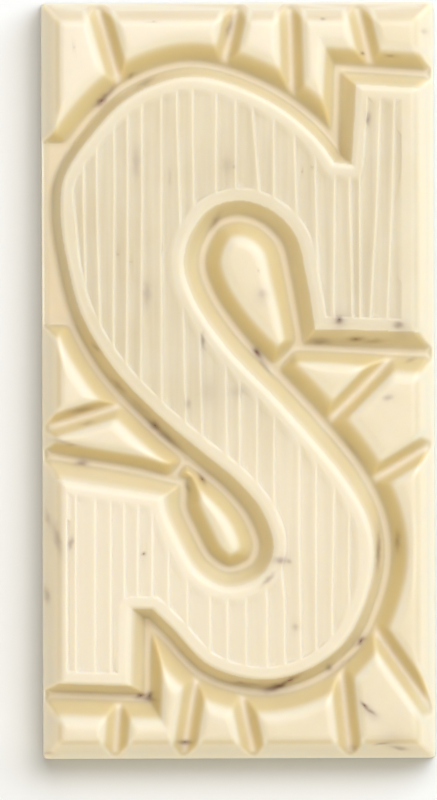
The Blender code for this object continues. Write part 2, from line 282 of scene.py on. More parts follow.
# Where raspberry lies just under the surface: x, y, half its length and width, its turn in
# degrees, and how strongly the fruit and its juice show
STAINS = (
    (-26.9, 55.4, 1.4, 0.6, 45, 0.75, 0.5),
    (-25.2, 57.2, 1.8, 0.5, 45, 0.1, 0.5),
    (-21.0, 60.4, 0.9, 0.4, 30, 0.45, 0.2),
    (-18.1, 59.0, 1.6, 0.4, 28, 0.3, 0.35),
    (-1.5, 70.0, 1.8, 0.5, 74, 0.2, 0.6),
    (24.8, 64.6, 0.4, 0.3, 0, 0.7, 0.3),
    (30.2, 64.1, 0.9, 0.3, -4, 0.5, 0),
    (-4.5, 31.4, 1.6, 0.6, 60, 0.35, 0.35),
    (3.7, 5.6, 0.9, 0.5, -50, 1, 0.5),
    (4.9, 3.4, 2.4, 0.4, -56, 0.1, 0.6),
    (16.1, 7.7, 1.8, 0.6, 0, 0.3, 0.5),
    (20.0, 11.9, 0.6, 0.6, 0, 0.6, 0.5),
    (20.1, 11.5, 1.4, 1.4, 0, 0, 0.35),
    (23.3, 8.1, 1.2, 0.4, 4, 0.75, 0.2),
    (26.9, 7.7, 1.8, 0.4, 3, 0.25, 0.3),
    (31.7, 10.9, 0.8, 0.5, 0, 0.35, 0.5),
    (32.4, 9.5, 1.8, 1.6, 0, 0, 0.3),
    (-28.1, 6.6, 1.0, 0.4, -50, 0.45, 0.1),
    (-23.6, -1.0, 1.6, 0.4, -47, 0.2, 0.45),
    (-19.5, -5.2, 2.8, 0.5, -42, 0.05, 0.3),
    (-16.5, -8.8, 1.1, 0.6, -40, 0.65, 0.3),
    (-14.0, -11.3, 2.2, 0.6, -42, 0.3, 0.4),
    (-31.1, -5.7, 2.2, 0.5, 12, 0.4, 0.3),
    (-29.8, -8.3, 1.2, 0.4, 10, 0.1, 0.4),
    (-34.9, -11.9, 1.4, 0.3, -8, 0.3, 0.2),
    (-31.0, -16.2, 1.0, 0.5, 0, 0.5, 0.6),
    (-33.0, -12.6, 1.0, 0.3, -5, 0.35, 0.1),
    (-10.1, -21.1, 1.1, 0.4, -65, 0.35, 0),
    (-7.2, -19.5, 1.0, 0.5, -60, 0.9, 0),
    (31.4, -31.9, 1.6, 0.5, 88, 0.5, 0.1),
    (27.6, -33.7, 3.0, 0.4, 88, 0.45, 0.6),
    (22.5, -13.6, 3.0, 0.5, -52, 0, 0.35),
    (8.2, -35.6, 1.0, 0.7, 0, 0.15, 0.8),
    (9.9, -35.8, 0.4, 0.4, 0, 0.3, 0.2),
    (5.8, -39.3, 1.4, 0.4, 45, 0.15, 0.6),
    (7.9, -60.4, 1.1, 0.5, 20, 1, 0.3),
    (6.1, -61.1, 1.3, 0.6, 10, 0.2, 0.75),
    (10.0, -59.3, 1.8, 0.4, 28, 0.65, 0.4),
    (2.1, -60.1, 2.8, 0.4, -4, 0.2, 0.35),
    (0.2, -59.8, 1.0, 0.3, -8, 0.45, 0.1),
    (-19.5, -62.3, 1.0, 0.4, 15, 0.75, 0.4),
    (-17.8, -62.3, 0.5, 0.7, -30, 0.75, 0.4),
    (-18.5, -63.0, 1.6, 0.4, -4, 0.25, 0.5),
    (-10.8, -71.5, 1.1, 0.4, 0, 0.6, 0.6),
    (-11.0, -72.5, 1.0, 1.0, 0, 0, 0.3),
    (22.6, -72.8, 0.9, 0.8, 0, 0.05, 0.5),
    (24.1, -51.6, 1.0, 0.5, 45, 0.85, 0.5),
    (20.9, -55.8, 2.8, 0.5, 40, 0, 0.45),
    (17.7, -56.9, 0.6, 0.6, 30, 0.4, 0.5),
    (24.7, -64.3, 0.8, 0.3, -50, 0.9, 0.2),
    (26.0, -65.5, 0.9, 0.3, -35, 0.45, 0.4),
    (26.1, -65.9, 1.8, 1.0, -40, 0, 0.3),
    (28.1, -71.9, 1.2, 0.2, 6, 0.45, 0.3),
    (31.6, -72.8, 1.4, 0.3, -8, 0.35, 0.4),
    (30.2, -70.9, 2.4, 1.6, 0, 0, 0.25),
    (-37.8, -27.1, 1.4, 0.5, -75, 0.1, 0.4),
    (-35.9, -31.1, 2.4, 0.6, -78, 0.15, 0.5),
    (-33.2, -32.1, 1.0, 0.4, 80, 0.4, 0.4),
    (-38.0, -42.3, 1.3, 0.6, -80, 0.2, 0.5),
    (-37.9, -73.6, 1.0, 0.3, 0, 0.2, 0.3),
    (-18.8, -34.2, 0.4, 0.3, 0, 0.6, 0.1),
    (11.1, -48.8, 0.6, 0.6, 0, 0.25, 0.25),
    (25.9, 51.5, 0.4, 1.0, 0, 0.4, 0.5),
    (-18.0, 17.2, 0.7, 2.0, 0, 0.05, 0.5),
    (-20.0, 43.1, 0.7, 2.6, 0, 0, 0.45),
    (-2.1, 42.5, 1.2, 1.4, 0, 0, 0.3),
    (4.9, 17.1, 0.8, 0.8, 0, 0, 0.35),
    (29.6, -3.5, 0.9, 0.5, 20, 0.1, 0.55),
    (34.1, 3.9, 1.0, 0.4, 20, 0.15, 0.4),
    (17.0, 71.4, 0.4, 0.3, 0, 0.4, 0.3),
    (37.0, 68.9, 0.6, 0.6, 0, 0.1, 0.35),
    (-7.0, 8.0, 0.4, 1.2, 0, 0.35, 0.5),
    (-6.0, -2.2, 1.4, 2.4, 0, 0, 0.25),
    (0.0, -2.3, 1.6, 1.0, 0, 0, 0.3),
    (-10.0, -4.6, 0.5, 1.0, 0, 0.15, 0.4),
    (-23.7, 24.9, 0.3, 0.3, 0, 0.4, 0),
    (-15.0, 25.9, 0.2, 0.2, 0, 0.35, 0),
    (-21.2, 23.5, 0.3, 0.2, 0, 0.35, 0),
    (-32.2, 65.9, 0.3, 0.3, 0, 0.3, 0),
    (-16.5, 71.0, 0.3, 0.2, 0, 0.4, 0),
    (-0.7, 42.2, 0.2, 0.3, 0, 0.4, 0),
    (12.7, 41.2, 0.2, 0.2, 0, 0.5, 0),
    (14.7, 42.0, 0.3, 0.2, 0, 0.4, 0),
    (4.0, 21.7, 0.2, 0.2, 0, 0.4, 0),
    (4.7, 16.5, 1.4, 2.0, 0, 0, 0.2),
    (-13.4, 40.1, 0.3, 1.6, 0, 0, 0.3),
)


def ramp(value, start, full):
    """0 up to the start, 1 from the full on, and even between. Either may be the greater."""
    return np.clip((value - start) / (full - start), 0, 1)


def smooth_min(a, b, blend):
    """The lower of two heights, less a rounding where they lie within the blend of each other."""
    share = np.clip(1 - np.abs(a - b) / blend, 0, None)
    return np.minimum(a, b) - share**2 * blend / 4


def smooth_max(a, b, blend):
    """The higher of two heights, with the hollow where they meet filled in the same way."""
    return -smooth_min(-a, -b, blend)


def traced(run):
    """The run as points. Through three or more goes a cubic in Hermite form, its slopes from
    second-order differences and its parameter growing with the root of each chord."""
    points = np.array(run)
    if len(points) == 2:
        return points
    chords = np.hypot(*np.diff(points[:, :2], axis=0).T)
    knots = np.concatenate([[0], np.cumsum(np.sqrt(chords))])
    slopes = np.gradient(points, knots, axis=0, edge_order=2)
    span = np.diff(knots)[:, None, None]
    t = np.linspace(0, 1, CURVE_STEPS, endpoint=False)[:, None]
    start, end = points[:-1, None], points[1:, None]
    leave, arrive = slopes[:-1, None] * span, slopes[1:, None] * span
    rounded = (
        (2 * t**3 - 3 * t**2 + 1) * start
        + (t**3 - 2 * t**2 + t) * leave
        + (3 * t**2 - 2 * t**3) * end
        + (t**3 - t**2) * arrive
    )
    return np.concatenate([rounded.reshape(-1, points.shape[1]), points[-1:]])


def patch_around(xs, ys, start, end):
    """The rows and columns of the grid within REACH of a line, and their places from its start."""
    lowest = np.minimum(start, end)[:2] - REACH
    highest = np.maximum(start, end)[:2] + REACH
    columns = slice(*np.searchsorted(xs, (lowest[0], highest[0])))
    rows = slice(*np.searchsorted(ys, (lowest[1], highest[1])))
    return (rows, columns), xs[columns] - start[0], ys[rows, None] - start[1]


def near(xs, ys, start, end):
    """The patch of the grid around a line, each point's distance from the line, and how far
    along the line, from 0 to 1, the nearest place lies."""
    patch, x, y = patch_around(xs, ys, start, end)
    along = end[:2] - start[:2]
    share = np.clip((x * along[0] + y * along[1]) / (along @ along), 0, 1)
    return patch, np.hypot(x - share * along[0], y - share * along[1]), share


def turn_over_left(inside, xs, ys, start, end):
    """Turns over every grid point to the left of a side, so that once all sides of the outline
    have done so, only the points inside it are set."""
    rows = (ys >= min(start[1], end[1])) & (ys < max(start[1], end[1]))
    crossing = start[0] + (ys[rows] - start[1]) / (end[1] - start[1]) * (end[0] - start[0])
    inside[rows] ^= xs < crossing[:, None]


def slopes_beside(distance, wall, bank):
    """How far the letter's wall has fallen at a distance from its outline, and how high the bank
    across the channel stands there."""
    past_floor = np.clip(distance - wall - 2 * FLOOR_HALF_WIDTH, 0, None)
    return distance / wall * RELIEF, CHANNEL_LEVEL + past_floor / bank * RELIEF


def mitre(wall_fall, banks, xs, ys, arriving, leaving):
    """Beyond a corner, the walls of the run that arrives and the run that leaves carry straight
    on until they meet, and so do the banks: the wall is the lower of the two planes and the bank
    the higher. In an inward corner the same holds for the letter's side of the outline."""
    u = arriving[-1, :2] - arriving[-2, :2]
    v = leaving[1, :2] - leaving[0, :2]
    u, v = u / np.hypot(*u), v / np.hypot(*v)
    patch, x, y = patch_around(xs, ys, leaving[0], leaving[0])
    beyond = (x * u[0] + y * u[1] >= 0) & (x * v[0] + y * v[1] <= 0)
    fall_a, bank_a = slopes_beside(np.abs(x * u[1] - y * u[0]), *arriving[-1, 2:])
    fall_b, bank_b = slopes_beside(np.abs(x * v[1] - y * v[0]), *leaving[0, 2:])
    fall = np.maximum(fall_a, fall_b)
    bank = np.maximum(bank_a, bank_b)
    np.minimum(wall_fall[patch], fall, out=wall_fall[patch], where=beyond)
    np.minimum(banks[patch], bank, out=banks[patch], where=beyond)


def rib_sink(xs, ys):
    """How far the ribbed face lies under its crests, and how near each point is to a line. Each
    rib climbs from the line on its left to the line on its right as half of one plus the cosine
    of pi times the share of the way raised to RIB_LEAN, and steps down at the line. Nearness is
    e to the minus square of the distance over RIB_EDGE."""
    shape = (len(ys), len(xs))
    before = np.full(shape, -np.inf)
    after = np.full(shape, np.inf)
    for line in RIB_LINES:
        across, along = np.array(line).T
        place = np.interp(ys, along[::-1], across[::-1])[:, None]
        before = np.where(xs >= place, np.maximum(before, place), before)
        after = np.where(xs < place, np.minimum(after, place), after)
    before = np.where(np.isinf(before), after - LOOSE_RIB, before)
    after = np.where(np.isinf(after), before + LOOSE_RIB, after)
    done, left = xs - before, after - xs
    climb = np.clip(done / (after - before), 0, 1) ** RIB_LEAN
    stepped = np.clip(0.5 + done / RIB_STEP, 0, 1)
    stepping = np.clip(0.5 - left / RIB_STEP, 0, 1)
    sink = RIB_DEPTH * (stepped * (1 + np.cos(np.pi * climb)) / 2 + stepping)
    return sink, np.exp(-((np.minimum(done, left) / RIB_EDGE) ** 2))


def wave(xs, ys, length, seed):
    """A slow unevenness from -1 to 1: the mean of WAVES plane waves in seeded directions, each
    as long as the length given times a seeded share within WAVE_SPREAD."""
    draw = np.random.default_rng(seed)
    total = 0
    for _ in range(WAVES):
        turn, start = draw.uniform(0, 2 * np.pi, 2)
        pace = 2 * np.pi / (length * draw.uniform(*WAVE_SPREAD))
        total = total + np.sin(pace * (xs * np.cos(turn) + ys * np.sin(turn)) + start)
    return total / WAVES


def softened(field, xs, ys, reach):
    """The field with each value made the mean of those around it, along one axis and then the
    other, each weighed by e to the minus square of its distance over the reach."""
    for axis, places in enumerate((ys, xs)):
        step = places[1] - places[0]
        count = round(2 * reach / step)
        weights = np.exp(-((np.arange(-count, count + 1) * step / reach) ** 2))
        weights /= weights.sum()
        edge = [(0, 0), (0, 0)]
        edge[axis] = (count, count)
        padded = np.pad(field, edge, mode="edge")
        start = np.arange(len(places))
        field = sum(w * np.take(padded, start + k, axis) for k, w in enumerate(weights))
    return field


def around_letter(xs, ys):
    """How far the letter's wall has fallen and how high the bank stands over each grid point, how
    far the point is from the letter's outline, and whether it is inside. The wall falls evenly
    from the outline to the channel's floor, and the bank rises evenly again past it."""
    shape = (len(ys), len(xs))
    wall_fall = np.full(shape, 10 * RELIEF)  # where no wall is near, far under the floor
    banks = np.full(shape, 2 * THICKNESS)  # where no channel is near, far over the top
    from_outline = np.full(shape, REACH)
    inside = np.zeros(shape, bool)
    runs = [traced(run) for run in LETTER_RUNS]
    for run in runs:
        last = len(run) - 2
        for place, (start, end) in enumerate(zip(run, run[1:])):
            patch, distance, share = near(xs, ys, start, end)
            beside = ((share > 0) | (place > 0)) & ((share < 1) | (place < last))
            wall, bank = (start[side] + (end[side] - start[side]) * share for side in (2, 3))
            fall, rise = slopes_beside(distance, wall, bank)
            np.minimum(wall_fall[patch], fall, out=wall_fall[patch], where=beside)
            np.minimum(banks[patch], rise, out=banks[patch], where=beside)
            from_outline[patch] = np.minimum(from_outline[patch], distance)
            turn_over_left(inside, xs, ys, start, end)
    for arriving, leaving in zip(runs, runs[1:] + runs[:1]):
        mitre(wall_fall, banks, xs, ys, arriving, leaving)
    return wall_fall, banks, from_outline, inside


def grooved(banks, xs, ys):
    """The banks with the grooves and the shelf cut into them, each a level floor whose sides rise
    evenly, and how near each point is to a groove: e to the minus square of the distance from
    its middle line over GROOVE_LINE."""
    at_groove = np.zeros(banks.shape)
    for groove in GROOVES:
        line, level = np.array(groove[:4]), groove[4]
        patch, distance, _ = near(xs, ys, line[:2], line[2:])
        side = level + (distance - GROOVE_HALF_WIDTH) / GROOVE_BANK * (THICKNESS - level)
        side = smooth_max(side, level, FLOOR_BLEND)
        nearness = np.exp(-((distance / GROOVE_LINE) ** 2))
        at_groove[patch] = np.maximum(at_groove[patch], nearness)
        banks[patch] = smooth_min(banks[patch], side, MEETING_BLEND)
    past_shelf = np.maximum(np.maximum(SHELF_START - ys, ys - SHELF_END), 0)[:, None]
    shelf = CHANNEL_LEVEL + past_shelf / SHELF_BANK * RELIEF
    banks = np.where(xs < SHELF_SIDE, smooth_min(banks, shelf, MEETING_BLEND), banks)
    return softened(np.minimum(banks, 2 * THICKNESS), xs, ys, CREASE), at_groove


def stain_shares(xs, ys):
    """How much fruit and how much juice shows at each grid point. A stain is e to the minus
    STAIN_FALL times the squared distance from its middle, in half lengths and half widths times
    STAIN_SPREAD, over a grid that a fine unevenness has pushed about. Its halo of juice is HALO
    times e to the minus HALO_FALL times the same. Stains add up and stop at 1."""
    shape = (len(ys), len(xs))
    fruit, juice = np.zeros(shape), np.zeros(shape)
    for x, y, half_long, half_wide, turn, fruit_share, juice_share in STAINS:
        patch, across, along = patch_around(xs, ys, np.array([x, y]), np.array([x, y]))
        columns, rows = xs[patch[1]], ys[patch[0], None]
        across = across + STAIN_WARP * wave(columns, rows, STAIN_GRAIN, seed=11)
        along = along + STAIN_WARP * wave(columns, rows, STAIN_GRAIN, seed=12)
        cos, sin = np.cos(np.radians(turn)), np.sin(np.radians(turn))
        u = (across * cos + along * sin) / (half_long * STAIN_SPREAD)
        v = (along * cos - across * sin) / (half_wide * STAIN_SPREAD)
        blot = np.exp(-STAIN_FALL * (u**2 + v**2))
        halo = np.exp(-HALO_FALL * (u**2 + v**2)) * HALO
        fruit[patch] += fruit_share * blot
        juice[patch] += juice_share * blot + (fruit_share + juice_share) * halo
    return np.clip(fruit, 0, 1), np.clip(juice, 0, 1)


GRID_ACROSS, GRID_ALONG = 0.15, 0.2
half_width = WIDTH / 2 - DRAFT
half_length = LENGTH / 2 - DRAFT
xs = np.linspace(-half_width, half_width, round(2 * half_width / GRID_ACROSS) + 1)
ys = np.linspace(-half_length, half_length, round(2 * half_length / GRID_ALONG) + 1)

# The body: the higher of the letter, with its wall, and the banks, down to the channel's floor
wall_fall, banks, from_outline, inside = around_letter(xs, ys)
banks, at_groove = grooved(banks, xs, ys)
letter = THICKNESS + np.where(inside, wall_fall, -wall_fall)
body = smooth_max(letter, banks, MEETING_BLEND)
body = softened(smooth_max(body, CHANNEL_LEVEL, FLOOR_BLEND), xs, ys, CREASE)

# The bevel: the lower of the planes that climb from the sides and from the ends
bevel_slope = (THICKNESS - BEVEL_LEVEL) / BEVEL_WIDTH
side_room = half_width - np.abs(xs)
end_room = (half_length - np.abs(ys))[:, None]
side_bevel = BEVEL_LEVEL + bevel_slope * side_room
end_bevel = BEVEL_LEVEL + bevel_slope * end_room
bevel = smooth_min(side_bevel, end_bevel, BEVEL_MEETING)

# How far the swollen top lies under full height: PILLOW times e to the minus distance from the
# nearest rim, of the letter, a block or the bevel, over PILLOW_WIDTH, and a slow wave
on_letter = np.where(inside, from_outline, -from_outline)
on_block = (banks - THICKNESS) / RELIEF * PLAIN_BANK
from_bevel = np.minimum(side_room, end_room) - BEVEL_WIDTH
from_rim = np.clip(np.minimum(np.maximum(on_letter, on_block), from_bevel), -PAST_RIM, None)
swell = PILLOW * np.exp(-from_rim / PILLOW_WIDTH)
swell = swell + WAVE * wave(xs, ys[:, None], WAVE_LENGTH, seed=4)

# The ribs: all over the letter but for its border, where they fade out, slower at the edges
# that face the upper right
in_field = np.minimum(on_letter - BORDER, np.minimum(xs - RIBS_LEFT, RIBS_RIGHT - xs))
inward_y, inward_x = np.gradient(on_letter, ys, xs)
outer = np.clip(FACING_SQUARE - UPPER_RIGHT[0] * inward_x - UPPER_RIGHT[1] * inward_y, 0, 1)
ribbed = np.clip(in_field / (BORDER_STEP * (1 + BORDER_SPREAD * outer)), 0, 1)
sink, at_line = rib_sink(xs, ys)

# The face: the lowest of the body, the swollen and ribbed top, and the bevel
top = THICKNESS - swell - ribbed * sink
face = smooth_min(smooth_min(body, top, RIM_BLEND), bevel, BEVEL_BLEND)
face = np.maximum(face, BEVEL_LEVEL)
rise_y, rise_x = np.gradient(face, ys, xs)

# How far each place counts as one of the parts that differ in tone, most of them painted light
# and shade. Slopes that face the lower left climb towards the upper right, and get painted shade from
# higher up.
off_bevel = ramp(bevel - face, *OFF_BEVEL)
climb = UPPER_RIGHT[0] * rise_x + UPPER_RIGHT[1] * rise_y
lower_left = ramp(climb / np.maximum(np.hypot(rise_x, rise_y), FLAT), *FACES_LOWER_LEFT)
bank_shade_full = BANK_SHADE_START + BANK_SHADE_FADE - BANK_SHADE_HASTE * lower_left
sunk_shade = ramp(THICKNESS - face, BANK_SHADE_START, bank_shade_full)
shade_weaker = (1 - LESS_SHADE_ELSEWHERE * (1 - lower_left)) * (1 - LESS_ON_WALL * ramp(letter - banks, *ON_WALL))
beside_shelf = (xs < SHELF_SIDE) & ((ys >= SHELF_START) & (ys <= SHELF_END))[:, None]
off_shelf = 1 - beside_shelf * ramp(-on_letter, *OFF_SHELF)
over_floor = face - CHANNEL_LEVEL - FLOOR_BLEND / 4  # the level floor's rounding lifts it
on_bevel = ramp(bevel - THICKNESS, *ON_BEVEL) * (1 - off_bevel)
at_head = ramp(side_bevel - end_bevel, *AT_HEAD) * (ys[:, None] > 0)
off_letter = ramp(-on_letter, *OFF_LETTER)
head_end = np.interp(ys, *PALER_HEAD)[:, None] * np.interp(xs, *PALER_HEAD_ACROSS)
lower_letter = np.interp(ys, *PALER_LETTER)[:, None] * np.interp(xs, *PALER_LETTER_ACROSS)
paler_blocks = np.maximum(head_end, np.interp(xs, *PALER_LEFT))
from_edge = np.where(inside, from_outline, np.abs(on_block))
shares = {
    "letter": ramp(on_letter, *ON_LETTER) * np.interp(ys, *LETTER_TONE)[:, None],
    "paler": off_letter * paler_blocks + (1 - off_letter) * lower_letter,
    # painted light: the bevels paler
    "bevel": on_bevel * (1 - at_head),
    # painted shade: the head's bevel darker
    "head_bevel_shade": on_bevel * at_head,
    # painted shade: a deeper yellow on the slopes into the channel and the grooves
    "bank": off_bevel * sunk_shade * shade_weaker * off_shelf,
    # painted shade at the foot of the channel's slopes
    "channel_floor_shade": off_bevel * ramp(face - CHANNEL_LEVEL, *LOW_SLOPE) * off_shelf,
    # painted highlight on the channel's level floor
    "channel_line_highlight": off_bevel * np.exp(-((over_floor / FLOOR_STRIP) ** 2)),
    # painted highlight on each groove's floor
    "groove_line_highlight": off_bevel * at_groove * ramp(face - GROOVE_LEVEL, *OVER_GROOVE),
    # painted highlight along the rims and the crests of the ribs
    "rim": np.maximum(np.exp(-((from_edge / RIM_HIGHLIGHT) ** 2)), CREST_HIGHLIGHT * ribbed * at_line),
    # painted highlight along the bar's outer edge
    "outer_edge_highlight": np.exp(-((np.minimum(side_room, end_room) / OUTER_HIGHLIGHT) ** 2)),
    "ribbed": ribbed,
}
shares["fruit"], shares["juice"] = stain_shares(xs, ys)

CORNER_PULL = 0.24  # how far each corner is drawn in, along X and along Y
CORNER_REACH = 0.5  # how far from the corner the pull is felt


def corner_eased(x, y):
    """The same places with the bar's corners drawn in: |x| and |y| both lose CORNER_PULL times
    e to the minus summed distance from the two sides over CORNER_REACH."""
    away = np.clip(half_width - np.abs(x), 0, None) + np.clip(half_length - np.abs(y), 0, None)
    pull = CORNER_PULL * np.exp(-away / CORNER_REACH)
    return x - np.sign(x) * pull, y - np.sign(y) * pull


def grid_mesh(xs, ys, height):
    """A mesh of the face, one square for each cell of the grid."""
    x, y = np.meshgrid(xs, ys)
    x, y = corner_eased(x, y)
    points = np.stack([x, y, height], axis=-1).reshape(-1, 3) * MM
    index = np.arange(len(points)).reshape(height.shape)
    squares = np.stack([index[:-1, :-1], index[:-1, 1:], index[1:, 1:], index[1:, :-1]], axis=-1)
    mesh = bpy.data.meshes.new("face")
    mesh.from_pydata(points, [], squares.reshape(-1, 4))
    return mesh


def thinned(mesh, triangles, keep):
    """The mesh with its edges collapsed, flattest first, down to that many triangles, except
    where points are to be kept."""
    source = bpy.data.objects.new("thinning", mesh)
    bpy.context.collection.objects.link(source)
    kept = source.vertex_groups.new(name="kept")
    kept.add(np.flatnonzero(keep).tolist(), 1.0, "REPLACE")
    modifier = source.modifiers.new("Decimate", "DECIMATE")
    modifier.ratio = triangles / (2 * len(mesh.polygons))
    modifier.use_collapse_triangulate = True
    modifier.vertex_group = kept.name
    modifier.invert_vertex_group = True
    graph = bpy.context.evaluated_depsgraph_get()
    result = bpy.data.meshes.new_from_object(source.evaluated_get(graph))
    bpy.data.objects.remove(source)
    return result


def read(items, name, width, kind=float):
    """One value or vector of every item of a mesh, as an array."""
    values = np.empty(len(items) * width, kind)
    items.foreach_get(name, values)
    return values.reshape(-1, width) if width > 1 else values


LAST_CELL = 1.001  # a place on the grid's end counts as just inside its last cell


def sampled(field, x, y):
    """A field's values between its grid points: the four nearest, weighed by nearness."""
    column = np.clip((x - xs[0]) / (xs[1] - xs[0]), 0, len(xs) - LAST_CELL)
    row = np.clip((y - ys[0]) / (ys[1] - ys[0]), 0, len(ys) - LAST_CELL)
    i, j = column.astype(int), row.astype(int)
    u, v = column - i, row - j
    near_row = field[j, i] * (1 - u) + field[j, i + 1] * u
    far_row = field[j + 1, i] * (1 - u) + field[j + 1, i + 1] * u
    return near_row * (1 - v) + far_row * v


# The side, from the bevel's foot to the back: how far out, how high, and how far its normal
# leans up
SIDE_ROWS = (
    (0.04, 8.4, 0.35),
    (0.08, 7.9, 0.12),
    (0.17, 4.4, 0.035),
    (0.28, 0.75, 0.03),
    (0.28, 0.42, -0.2),
    (0.19, 0.16, -0.7),
    (0.0, 0.03, -0.95),
)
AT_SIDE = 0.985  # a rim point this share of the way out lies on that side
BACK_STEP = 3.0  # of the back's square lattice, which leaves out a strip along the edges
BACK_ACROSS, BACK_ALONG = 36, 72  # how far it reaches from the middle
BACK_WAVE = 0.05
BACK_WAVE_LENGTH = 25.0
INSIDE_ONLY = 1  # the triangulation keeps the triangles inside the ring
TOUCHING = 1e-6  # and takes points closer than this for one


def closed_bar(face_mesh):
    """The face with the side rows carried round its rim and the back laid over the last row, the
    unit normal at each of its points, and how many of them are on the face. A row is the rim
    spread outwards; the back is the flat triangulation of the last row and a square lattice,
    lifted by the hair's breadth that the scraper left."""
    points = read(face_mesh.vertices, "co", 3) / MM
    triangles = read(face_mesh.loops, "vertex_index", 1, np.int32).astype(np.int64).reshape(-1, 3)
    edges = np.sort(np.concatenate([triangles[:, pair] for pair in ([0, 1], [1, 2], [2, 0])]))
    keys, counts = np.unique(edges[:, 0] * len(points) + edges[:, 1], return_counts=True)
    rim = np.unique(np.concatenate(np.divmod(keys[counts == 1], len(points))))
    rim = rim[np.argsort(np.arctan2(points[rim, 1], points[rim, 0]))]
    slopes = [sampled(rise, points[:, 0], points[:, 1]) for rise in (rise_x, rise_y)]
    normals = np.column_stack([-slopes[0], -slopes[1], np.ones(len(points))])
    outward = points[rim, :2] / (half_width, half_length)
    outward = np.where(np.abs(outward) > AT_SIDE, np.sign(outward), 0)
    outward /= np.maximum(np.hypot(*outward.T), 1)[:, None]
    parts, turned = [points], [normals]
    ring_start = len(points)
    rings = [rim]
    for out, level, lean in SIDE_ROWS:
        spread = points[rim, :2] * (1 + out / half_width, 1 + out / half_length)
        parts.append(np.column_stack([spread, np.full(len(rim), level)]))
        turned.append(np.column_stack([outward * np.sqrt(1 - lean**2), np.full(len(rim), lean)]))
        rings.append(ring_start + np.arange(len(rim)))
        ring_start += len(rim)
    quads = [
        np.stack([upper, lower, np.roll(lower, -1), np.roll(upper, -1)], axis=1)
        for upper, lower in zip(rings, rings[1:])
    ]
    foot = parts[-1][:, :2]
    columns = np.arange(-BACK_ACROSS, BACK_ACROSS + 1, BACK_STEP)
    rows = np.arange(-BACK_ALONG, BACK_ALONG + 1, BACK_STEP)
    lattice = np.stack(np.meshgrid(columns, rows), axis=-1).reshape(-1, 2)
    flat = np.concatenate([foot, lattice])
    ring_edges = [(k, (k + 1) % len(foot)) for k in range(len(foot))]
    flat = [Vector(place) for place in flat]
    _, _, back, *_ = delaunay_2d_cdt(flat, ring_edges, [], INSIDE_ONLY, TOUCHING)
    lift = BACK_WAVE * (1 + wave(lattice[:, 0], lattice[:, 1], BACK_WAVE_LENGTH, seed=9))
    parts.append(np.column_stack([lattice, lift]))
    turned.append(np.tile((0.0, 0.0, -1.0), (len(lattice), 1)))
    back = np.array(back)[:, ::-1]
    back = np.where(back < len(foot), back + rings[-1][0], back - len(foot) + ring_start)
    every = np.concatenate(parts)
    mesh = bpy.data.meshes.new("chocolate_letter_bar")
    faces = [*triangles.tolist(), *np.concatenate(quads).tolist(), *back.tolist()]
    mesh.from_pydata(every * MM, [], faces)
    turned = np.concatenate(turned)
    return mesh, turned / np.linalg.norm(turned, axis=1)[:, None], len(points)


stained = np.maximum(shares["fruit"], shares["juice"]) > KEPT_STAIN
face_mesh = thinned(grid_mesh(xs, ys, face), FACE_TRIANGLES, stained)
bar_mesh, turned, on_face = closed_bar(face_mesh)
bar_mesh.shade_smooth()
bar_mesh.normals_split_custom_set_from_vertices(turned)
places = read(bar_mesh.vertices, "co", 3) / MM
for name, field in shares.items():
    values = sampled(field, places[:, 0], places[:, 1])
    values[on_face:] = 0
    bar_mesh.attributes.new(name, "FLOAT", "POINT").data.foreach_set("value", values)
bar = bpy.data.objects.new("chocolate_letter_bar", bar_mesh)
bpy.context.collection.objects.link(bar)


def linear(colour):
    """A colour such as "#f1e2c1" as the linear light that a shader takes: each part over 12.92
    where it is dark, and raised to the power 2.4 elsewhere, as sRGB says."""
    parts = np.array([int(colour[k : k + 2], 16) for k in (1, 3, 5)]) / 255
    parts = np.where(parts <= 0.04045, parts / 12.92, ((parts + 0.055) / 1.055) ** 2.4)
    return (*parts, 1.0)


def add(tree, kind, settings=(), **links):
    """Adds a node to a tree, with its settings by name, and its inputs by the number or name
    after the underscore: a socket is linked, and anything else is set as the value."""
    node = tree.nodes.new("ShaderNode" + kind)
    for key, value in dict(settings).items():
        setattr(node, key, value)
    for key, value in links.items():
        key = key.lstrip("_")
        socket = node.inputs[int(key) if key.isdigit() else key.replace("_", " ")]
        if isinstance(value, bpy.types.NodeSocket):
            tree.links.new(value, socket)
        else:
            socket.default_value = value
    return node


# White chocolate, moulded: cocoa butter with milk and sugar in it is cream-coloured and lets
# light a millimetre or two in, so edges glow and hollows turn a deeper yellow; the tones below
# also paint highlights on the edges and a deeper yellow shade in the hollows. Against the
# polished mould it sets to a satin gloss, faintly streaked along the ribs.
chocolate = bpy.data.materials.new("moulded_white_chocolate")
chocolate.use_nodes = True
tree = chocolate.node_tree
surface = tree.nodes["Principled BSDF"]
where = add(tree, "TexCoord").outputs["Object"]
CLOUD_SCALE = 90.0  # paler and darker clouds about a centimetre across
CLOUD_RANGE = {"_1": 0.3, "_2": 0.7}  # the noise runs from about here to there
clouds = add(tree, "TexNoise", _Vector=where, _Scale=CLOUD_SCALE, _Detail=3.0, _Roughness=0.55)
cloudy = add(tree, "MapRange", _0=clouds.outputs[0], **CLOUD_RANGE, _3=0.0, _4=1.0)
shade = add(
    tree, "Mix", {"data_type": "RGBA"},
    _0=cloudy.outputs[0], _6=linear("#DFD3BA"), _7=linear("#DCCEB0"),
).outputs[2]
STREAK_SCALE = 520.0  # faint streaks about two millimetres apart, along the ribs
STREAK_RUN = (1.0, 0.05, 1.0)  # twenty times as long as they are wide
STREAK_RANGE = {"_1": 0.35, "_2": 0.65}
streaked = add(tree, "VectorMath", {"operation": "MULTIPLY"}, _0=where, _1=STREAK_RUN)
streaks = add(tree, "TexNoise", _Vector=streaked.outputs[0], _Scale=STREAK_SCALE, _Detail=2.0)
on_ribs = add(tree, "Attribute", {"attribute_name": "ribbed"}).outputs["Fac"]
